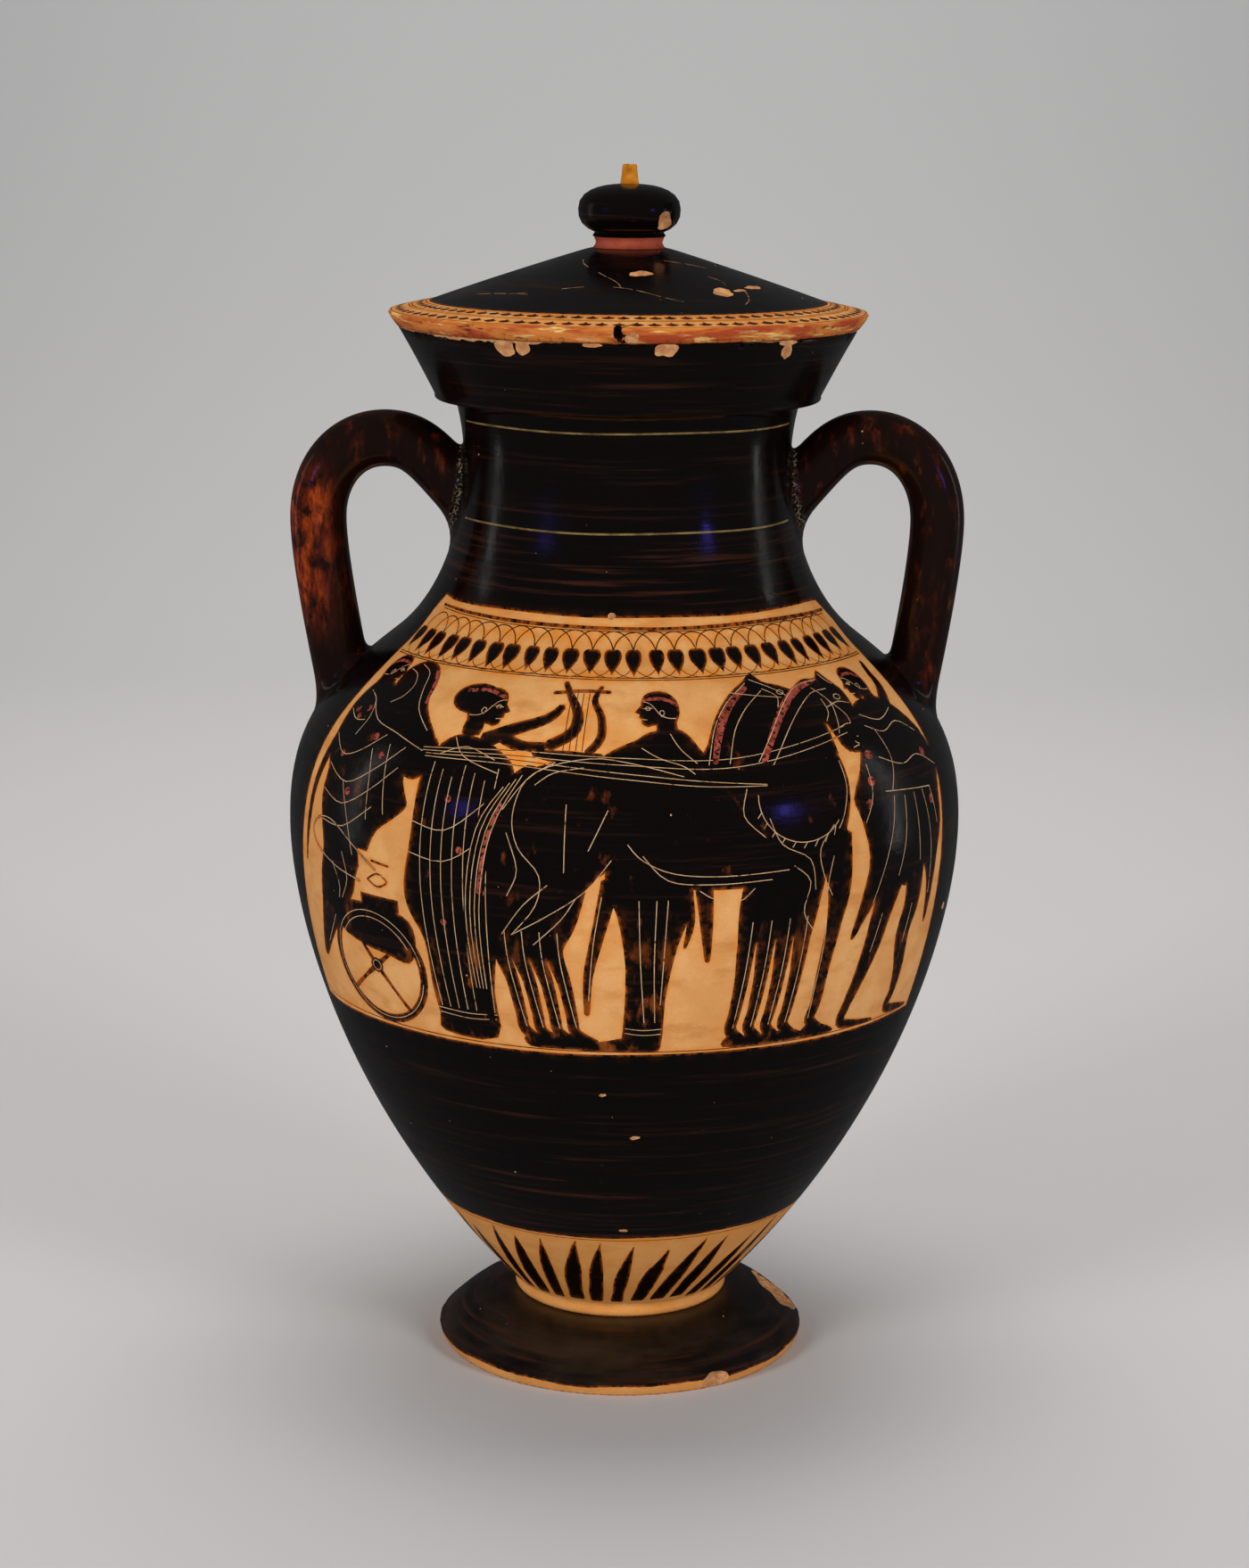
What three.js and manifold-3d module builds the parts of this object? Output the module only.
// Lidded amphora: a wheel-thrown storage jar of one continuous curve, with two round
// handles, a spreading foot and a conical lid with a knob.
// Millimetres, +Z up. The origin is the centre of the foot's resting plane, the front
// of the jar looks along -Y and the handles stand at -X and +X.

import * as THREE from 'three';
import { mergeVertices } from 'three/addons/utils/BufferGeometryUtils.js';
import Module from 'manifold-3d';

// Walls and clearances
const WALL = 6.5; // thrown wall of the body, neck and lip
const FLOOR = 13; // clay between the hollow of the foot and the inside of the jar
const SEAT_GAP = 0.3; // between the lip and the lid that rests on it
const CUT_MARGIN = 12; // how far a cutting shape reaches past the clay

// Foot: a spreading disc with a narrow upright edge, hollowed below
const FOOT_RADIUS = 90.3;
const FOOT_EDGE = 3; // height of the upright edge
const FOOT_TOP = 25.5; // where the foot meets the moulded ring
const FOOT_BULGE = 9.5; // how far the edge's roundness runs in over the top
const FOOT_CREST = 18; // length of the flatter slope below the ring
const REST_WIDTH = 13; // width of the ring that the jar stands on
const REST_BEVEL = 0.8; // small chamfer at the outer edge of that ring
const UNDERSIDE_DEPTH = 15; // depth of the hollow under the foot
const UNDERSIDE_CROWN = 2; // how much shallower that hollow is where its sides begin
const UNDERSIDE_FLAT = 47; // radius of the nearly level part of that hollow

// Moulded ring between foot and body
const RING_RADIUS = 54.6;
const RING_NECK = 53.2; // waist of the stem where the ring sits
const RING_HEIGHT = 4.5;
const RING_ROUND = 1.4; // how far the ring's upper and lower edges are rounded off

// Body and neck: one curve from the ring to the lip
const BODY_ANGLE = 46; // degrees above level at which the body leaves the ring
const BODY_SWELL = 120; // pull of the curve as it leaves the ring
const BELLY_RADIUS = 161.4;
const BELLY_HEIGHT = 265;
const BELLY_PULL_DOWN = 50;
const BELLY_PULL_UP = 44;
const SHOULDER_RADIUS = 111; // where the shoulder turns from convex to concave
const SHOULDER_HEIGHT = 354;
const SHOULDER_ANGLE = 37.8; // degrees above level of the curve there
const SHOULDER_PULL_OUT = 43;
const SHOULDER_PULL_IN = 26;
const NECK_RADIUS = 77.6;
const NECK_HEIGHT = 440;
const NECK_PULL = 40;
const NECK_TOP_RADIUS = 81.4;
const NECK_TOP_SAG = 1; // how far the neck stays slimmer between its waist and its top

// Lip: a flaring ring with a step below it
const LIP_BASE_HEIGHT = 467.5;
const LIP_BASE_RADIUS = 90;
const LIP_UNDERCUT = 1.5; // how far the lip's lower edge hangs over the neck
const LIP_HEIGHT = 500;
const LIP_RADIUS = 107.8;
const LIP_HOLLOW = 0.7; // how far the flare sags inwards
const LIP_ROUND = 0.9; // rounding of the lip's two outer edges
const LIP_THICKNESS = 9; // level width of the lip's top face
const MOUTH_STEP = 20; // depth over which the mouth narrows to the neck's wall

// Handles: round rods that rise from the neck, turn over and run down to the shoulder
const HANDLE_RADIUS = 12.8;
const HANDLE_TOP_REACH = 115; // from the axis to the top of the bend
const HANDLE_TOP_HEIGHT = 446.6;
const HANDLE_SIDE_REACH = 147.4; // from the axis to the outermost point of the rod's middle
const HANDLE_SIDE_HEIGHT = 408;
const HANDLE_ROOT_HEIGHT = 415; // where the rod's middle leaves the neck
const HANDLE_RISE_ANGLE = 62; // degrees above level of the rod at the neck
const HANDLE_FALL_ANGLE = 79; // degrees below level of the rod at the shoulder
const HANDLE_FOOT_HEIGHT = 326; // where the rod's middle sinks into the shoulder
const HANDLE_FOOT_INSET = 6; // how far inside the shoulder's surface it is there
const HANDLE_SINK = 10; // how far each end of the rod runs on inside the wall
const HANDLE_RISE_PULL = 0.5; // pulls of the rod's curve, as shares of each stretch
const HANDLE_OVER_PULL = 0.58;
const HANDLE_DROP_PULL = 0.24;
// The two handles were bent by hand: each one's turn about the axis, and how much
// further out its side and foot stand, and higher its top, than the sizes above
const HANDLES = [
  { turn: 0, side: 0.4, foot: 1, top: 1.6 },
  { turn: 180, side: -0.6, foot: -1, top: 0.4 },
];

// Lid
const LID_RIM_RADIUS = 112.6;
const LID_RIM_RISE = 6.3; // from the seat up to the rim's widest edge
const LID_RIM_EDGE = 1; // height of the narrow upright edge there
const LID_RIM_ROUND = { in: 1.5, up: 0.8 }; // rounding above that edge
const LID_SEAT_RADIUS = 108.8; // lower edge of the rim, on the lip
const LID_BAND_RADIUS = 93.5; // where the nearly flat rim turns into the cone
const LID_BAND_RISE = 4.6; // from the rim's widest edge up to that turn
const LID_WALL = 7;
const COLLAR_RADIUS = 17.2;
const CONE_RISE = 25.8; // from that turn up to the collar
const COLLAR_HEIGHT = 5.5;
const COLLAR_FLARE = 1.6; // how much wider the collar's top and bottom are than its waist
const KNOB_RADIUS = 24;
const KNOB_HEIGHT = 23;
const KNOB_SQUARENESS = 2.9; // exponent of the knob's rounded outline; 2 is an ellipse
const PEG_RADIUS = 4.1;
const PEG_TOP_RADIUS = 3.4;
const PEG_HEIGHT = 9;
const FLANGE_CLEARANCE = 3.5; // between the flange's lower edge and the mouth
const FLANGE_DEPTH = 12; // how far the flange reaches into the mouth
const FLANGE_THICKNESS = 6.5;

// Old damage that changes the outline: position around the axis in degrees from +X
// towards +Y, the size of the lost flake, and how high it is above the part's base
const FOOT_CHIP = { angle: 27, half: 11, depth: 8.5 };
const FOOT_NICK = { angle: -59, radius: 5, depth: 2.4 };
const RIM_NOTCH = { angle: -91, width: 3.4, depth: 4.5 };
const KNOB_CHIP = { angle: -42, radius: 5.5, depth: 2.6, rise: 7 };

// Fineness of the turned and extruded forms
const TURN_SIDES = 48;
const ROD_SIDES = 16;
const ROD_STEPS = 21;
const FLAKE_SIDES = 12;
const BODY_STEPS = 12;
const SHOULDER_STEPS = 7;
const NECK_STEPS = 5;
const FOOT_STEPS = 5;
const KNOB_STEPS = 8;
const INNER_FINENESS = 0.6; // the inside is turned in fewer steps than the outside

const wasm = await Module();
wasm.setup();

const degrees = THREE.MathUtils.degToRad;
const at = (radius, height) => new THREE.Vector2(radius, height);

// A point at a distance from another one, in the direction of an angle above level
function away(point, angle, distance) {
  return at(point.x + Math.cos(degrees(angle)) * distance, point.y + Math.sin(degrees(angle)) * distance);
}

// The points of a cubic curve, without its last one, so that stretches can be joined
function stretch(start, leave, arrive, end, steps) {
  return new THREE.CubicBezierCurve(start, leave, arrive, end).getPoints(steps).slice(0, -1);
}

// The same outline moved inwards by the wall, square to its own direction
function inside(points, wall) {
  return points.map((point, i) => {
    const before = points[Math.max(i - 1, 0)];
    const after = points[Math.min(i + 1, points.length - 1)];
    const along = after.clone().sub(before).normalize();
    return at(point.x - along.y * wall, point.y + along.x * wall);
  });
}

// A closed solid from a geometry, once its shared corners are merged
function solidOf(geometry) {
  geometry.deleteAttribute('normal');
  geometry.deleteAttribute('uv');
  const merged = mergeVertices(geometry, 1e-4);
  const vertProperties = new Float32Array(merged.attributes.position.array);
  const triVerts = new Uint32Array(merged.index.array);
  return new wasm.Manifold(new wasm.Mesh({ numProp: 3, vertProperties, triVerts }));
}

// A turned solid about +Z. The outline runs from the axis back to the axis, with the
// clay on its left
function turned(outline) {
  const geometry = new THREE.LatheGeometry(outline, TURN_SIDES);
  geometry.rotateX(Math.PI / 2);
  return solidOf(geometry);
}

// A flattened ball that takes a flake off an edge
function flake(radius, depth, angle, reach, height) {
  const ball = new THREE.SphereGeometry(radius, FLAKE_SIDES, FLAKE_SIDES / 2);
  ball.scale(depth / radius, 1, 1);
  ball.translate(reach, 0, height);
  ball.rotateZ(degrees(angle));
  return solidOf(ball);
}

function meshOf(name, solid, material) {
  const { numProp, vertProperties, triVerts } = solid.getMesh();
  const corners = new THREE.InterleavedBuffer(vertProperties, numProp);
  const geometry = new THREE.BufferGeometry();
  geometry.setAttribute('position', new THREE.InterleavedBufferAttribute(corners, 3, 0));
  geometry.setIndex(new THREE.BufferAttribute(triVerts, 1));
  const flat = geometry.toNonIndexed();
  flat.computeVertexNormals();
  const mesh = new THREE.Mesh(flat, material);
  mesh.name = name;
  return mesh;
}

// The wall's outline from the moulded ring up to the top of the neck
const ringTop = FOOT_TOP + RING_HEIGHT;
const bodyStart = at(RING_NECK, ringTop);
const belly = at(BELLY_RADIUS, BELLY_HEIGHT);
const turn = at(SHOULDER_RADIUS, SHOULDER_HEIGHT);
const waist = at(NECK_RADIUS, NECK_HEIGHT);
const neckTop = at(NECK_TOP_RADIUS, LIP_BASE_HEIGHT - LIP_UNDERCUT);

function wallOutline(fineness = 1) {
  const steps = (count) => Math.round(count * fineness);
  return [
    ...stretch(
      bodyStart,
      away(bodyStart, BODY_ANGLE, BODY_SWELL),
      away(belly, -90, BELLY_PULL_DOWN),
      belly,
      steps(BODY_STEPS),
    ),
    ...stretch(
      belly,
      away(belly, 90, BELLY_PULL_UP),
      away(turn, -SHOULDER_ANGLE, SHOULDER_PULL_OUT),
      turn,
      steps(SHOULDER_STEPS),
    ),
    ...stretch(
      turn,
      away(turn, 180 - SHOULDER_ANGLE, SHOULDER_PULL_IN),
      away(waist, -90, NECK_PULL),
      waist,
      steps(NECK_STEPS),
    ),
    waist,
    at((NECK_RADIUS + NECK_TOP_RADIUS) / 2 - NECK_TOP_SAG, (NECK_HEIGHT + neckTop.y) / 2),
    neckTop,
  ];
}

// The radius of the outer wall at a height
function wallRadiusAt(height) {
  const points = wallOutline();
  const above = points.findIndex((point) => point.y > height);
  const low = points[above - 1];
  const high = points[above];
  return THREE.MathUtils.mapLinear(height, low.y, high.y, low.x, high.x);
}

// The foot's upper surface, from its upright edge in to the moulded ring
function footOutline() {
  const edge = at(FOOT_RADIUS, FOOT_EDGE);
  const crest = at(RING_NECK, FOOT_TOP);
  return stretch(
    edge,
    at(FOOT_RADIUS - FOOT_BULGE, FOOT_EDGE + FOOT_BULGE),
    at(RING_NECK + FOOT_CREST, FOOT_TOP),
    crest,
    FOOT_STEPS,
  );
}

function bodyForm() {
  const restInner = FOOT_RADIUS - REST_BEVEL - REST_WIDTH;
  return turned([
    at(0, UNDERSIDE_DEPTH),
    at(UNDERSIDE_FLAT, UNDERSIDE_DEPTH - UNDERSIDE_CROWN),
    at(restInner, 0),
    at(FOOT_RADIUS - REST_BEVEL, 0),
    at(FOOT_RADIUS, REST_BEVEL),
    ...footOutline(),
    at(RING_NECK, FOOT_TOP),
    at(RING_RADIUS, FOOT_TOP + RING_ROUND),
    at(RING_RADIUS, ringTop - RING_ROUND),
    ...wallOutline(),
    at(LIP_BASE_RADIUS, LIP_BASE_HEIGHT - LIP_UNDERCUT),
    at(LIP_BASE_RADIUS + LIP_ROUND, LIP_BASE_HEIGHT),
    at((LIP_BASE_RADIUS + LIP_RADIUS) / 2 - LIP_HOLLOW, (LIP_BASE_HEIGHT + LIP_HEIGHT) / 2),
    at(LIP_RADIUS, LIP_HEIGHT - LIP_ROUND),
    at(LIP_RADIUS - LIP_ROUND, LIP_HEIGHT),
    at(0, LIP_HEIGHT),
  ]);
}

// The mouth, from the neck's inner wall up to the inner edge of the lip
const mouthRadius = LIP_RADIUS - LIP_THICKNESS;
const mouthSlope = (LIP_RADIUS - LIP_BASE_RADIUS) / (LIP_HEIGHT - LIP_BASE_HEIGHT);
const mouthAt = (height) => mouthRadius - (LIP_HEIGHT - height) * mouthSlope;

function hollow() {
  const innerFloor = UNDERSIDE_DEPTH + FLOOR;
  const stepHeight = LIP_HEIGHT - MOUTH_STEP;
  const inner = inside(wallOutline(INNER_FINENESS), WALL);
  const throat = inner.filter((point) => point.y > innerFloor + WALL && point.y < stepHeight - WALL);
  const floorRadius = throat[0].x - (throat[0].y - innerFloor) / Math.tan(degrees(BODY_ANGLE));
  return turned([
    at(0, innerFloor),
    at(floorRadius, innerFloor),
    ...throat,
    at(mouthAt(stepHeight), stepHeight),
    at(mouthRadius, LIP_HEIGHT),
    at(mouthRadius + CUT_MARGIN * mouthSlope, LIP_HEIGHT + CUT_MARGIN),
    at(0, LIP_HEIGHT + CUT_MARGIN),
  ]);
}

// One handle, as a round rod along a curve in an upright plane through the axis
function handle({ turn: around, side: sideOffset, foot: footOffset, top: topOffset }) {
  const place = (reach, height) => new THREE.Vector3(reach, 0, height);
  const along = (point, angle, distance) => point.clone().add(
    place(Math.cos(degrees(angle)) * distance, Math.sin(degrees(angle)) * distance),
  );
  const root = place(wallRadiusAt(HANDLE_ROOT_HEIGHT), HANDLE_ROOT_HEIGHT);
  const top = place(HANDLE_TOP_REACH + sideOffset / 2, HANDLE_TOP_HEIGHT + topOffset);
  const side = place(HANDLE_SIDE_REACH + sideOffset, HANDLE_SIDE_HEIGHT);
  const footReach = wallRadiusAt(HANDLE_FOOT_HEIGHT) - HANDLE_FOOT_INSET + footOffset;
  const foot = place(footReach, HANDLE_FOOT_HEIGHT);
  const rise = (top.x - root.x) * HANDLE_RISE_PULL;
  const over = (side.x - top.x) * HANDLE_OVER_PULL;
  const turnDown = (top.z - side.z) * HANDLE_OVER_PULL;
  const drop = (side.z - foot.z) * HANDLE_DROP_PULL;
  const path = new THREE.CurvePath();
  path.add(new THREE.CubicBezierCurve3(
    along(root, HANDLE_RISE_ANGLE, -HANDLE_SINK),
    along(root, HANDLE_RISE_ANGLE, rise),
    along(top, 0, -rise),
    top,
  ));
  path.add(new THREE.CubicBezierCurve3(top, along(top, 0, over), along(side, 90, turnDown), side));
  path.add(new THREE.CubicBezierCurve3(
    side,
    along(side, -90, drop),
    along(foot, HANDLE_FALL_ANGLE, drop),
    along(foot, 180 + HANDLE_FALL_ANGLE, HANDLE_SINK),
  ));
  const section = new THREE.Shape();
  section.absarc(0, 0, HANDLE_RADIUS, 0, Math.PI * 2);
  const rod = new THREE.ExtrudeGeometry(section, {
    extrudePath: path,
    steps: ROD_STEPS,
    curveSegments: ROD_SIDES / 2,
  });
  rod.rotateZ(degrees(around));
  return solidOf(rod);
}

function amphora() {
  const handles = HANDLES.map(handle);
  const chip = flake(
    FOOT_RADIUS * Math.sin(degrees(FOOT_CHIP.half)),
    FOOT_CHIP.depth,
    FOOT_CHIP.angle,
    FOOT_RADIUS,
    FOOT_EDGE + FOOT_CHIP.depth / 2,
  );
  const nick = flake(FOOT_NICK.radius, FOOT_NICK.depth, FOOT_NICK.angle, FOOT_RADIUS, FOOT_EDGE);
  const whole = handles.reduce((form, rod) => form.add(rod), bodyForm());
  return whole.subtract(hollow()).subtract(chip).subtract(nick);
}

// Heights of the lid's parts, which all follow the lip that it rests on
const seat = LIP_HEIGHT + SEAT_GAP;
const rimHeight = seat + LID_RIM_RISE;
const bandHeight = rimHeight + LID_BAND_RISE;
const collarBase = bandHeight + CONE_RISE;
const collarTop = collarBase + COLLAR_HEIGHT;

// The knob's outline, from the collar up to the peg
function knobOutline() {
  const middle = collarTop + KNOB_HEIGHT / 2;
  const points = [];
  for (let i = 0; i <= KNOB_STEPS; i += 1) {
    const turnAngle = Math.PI * (i / KNOB_STEPS - 0.5);
    const power = 2 / KNOB_SQUARENESS;
    const out = Math.cos(turnAngle) ** power;
    const up = Math.sign(turnAngle) * Math.abs(Math.sin(turnAngle)) ** power;
    points.push(at(KNOB_RADIUS * out, middle + (KNOB_HEIGHT / 2) * up));
  }
  return points;
}

// Height of the lid's cone above a given radius
const coneSlope = CONE_RISE / (LID_BAND_RADIUS - COLLAR_RADIUS);
const coneAt = (radius) => bandHeight + (LID_BAND_RADIUS - radius) * coneSlope;

function lid() {
  const flangeFoot = seat - FLANGE_DEPTH;
  const flangeOuter = mouthAt(flangeFoot) - FLANGE_CLEARANCE;
  const flangeInner = flangeOuter - FLANGE_THICKNESS;
  const peg = collarTop + KNOB_HEIGHT;
  const knob = knobOutline().filter((point) => point.x > COLLAR_RADIUS - COLLAR_FLARE);
  const knobTop = knobOutline().filter((point) => point.y > knob[knob.length - 1].y);
  const crown = knobTop.filter((point) => point.x > PEG_RADIUS);
  const body = turned([
    at(0, collarBase - LID_WALL),
    at(COLLAR_RADIUS, collarBase - LID_WALL),
    at(flangeInner, coneAt(flangeInner) - LID_WALL),
    at(flangeInner, flangeFoot),
    at(flangeOuter, flangeFoot),
    at(flangeOuter, seat),
    at(LID_SEAT_RADIUS, seat),
    at(LID_RIM_RADIUS, rimHeight - LID_RIM_EDGE),
    at(LID_RIM_RADIUS, rimHeight),
    at(LID_RIM_RADIUS - LID_RIM_ROUND.in, rimHeight + LID_RIM_ROUND.up),
    at(LID_BAND_RADIUS, bandHeight),
    at(COLLAR_RADIUS, collarBase),
    at(COLLAR_RADIUS - COLLAR_FLARE, (collarBase + collarTop) / 2),
    at(COLLAR_RADIUS, collarTop),
    ...knob,
    ...crown,
    at(PEG_RADIUS, peg),
    at(PEG_TOP_RADIUS, peg + PEG_HEIGHT),
    at(0, peg + PEG_HEIGHT),
  ]);
  const notch = flake(
    RIM_NOTCH.width,
    RIM_NOTCH.depth,
    RIM_NOTCH.angle,
    LID_RIM_RADIUS,
    rimHeight,
  );
  const chip = flake(
    KNOB_CHIP.radius,
    KNOB_CHIP.depth,
    KNOB_CHIP.angle,
    KNOB_RADIUS,
    collarTop + KNOB_CHIP.rise,
  );
  return body.subtract(notch).subtract(chip);
}

// Fired clay under a glossy black slip
const slippedClay = new THREE.MeshStandardMaterial({
  name: 'black slip on orange clay',
  color: 0x17110d,
  roughness: 0.25,
  metalness: 0,
});
const slippedLid = slippedClay.clone();
slippedLid.name = 'black slip on the lid';
slippedLid.color.set(0x1c130e);

const group = new THREE.Group();
group.add(meshOf('amphora', amphora(), slippedClay));
group.add(meshOf('lid', lid(), slippedLid));

export default group;
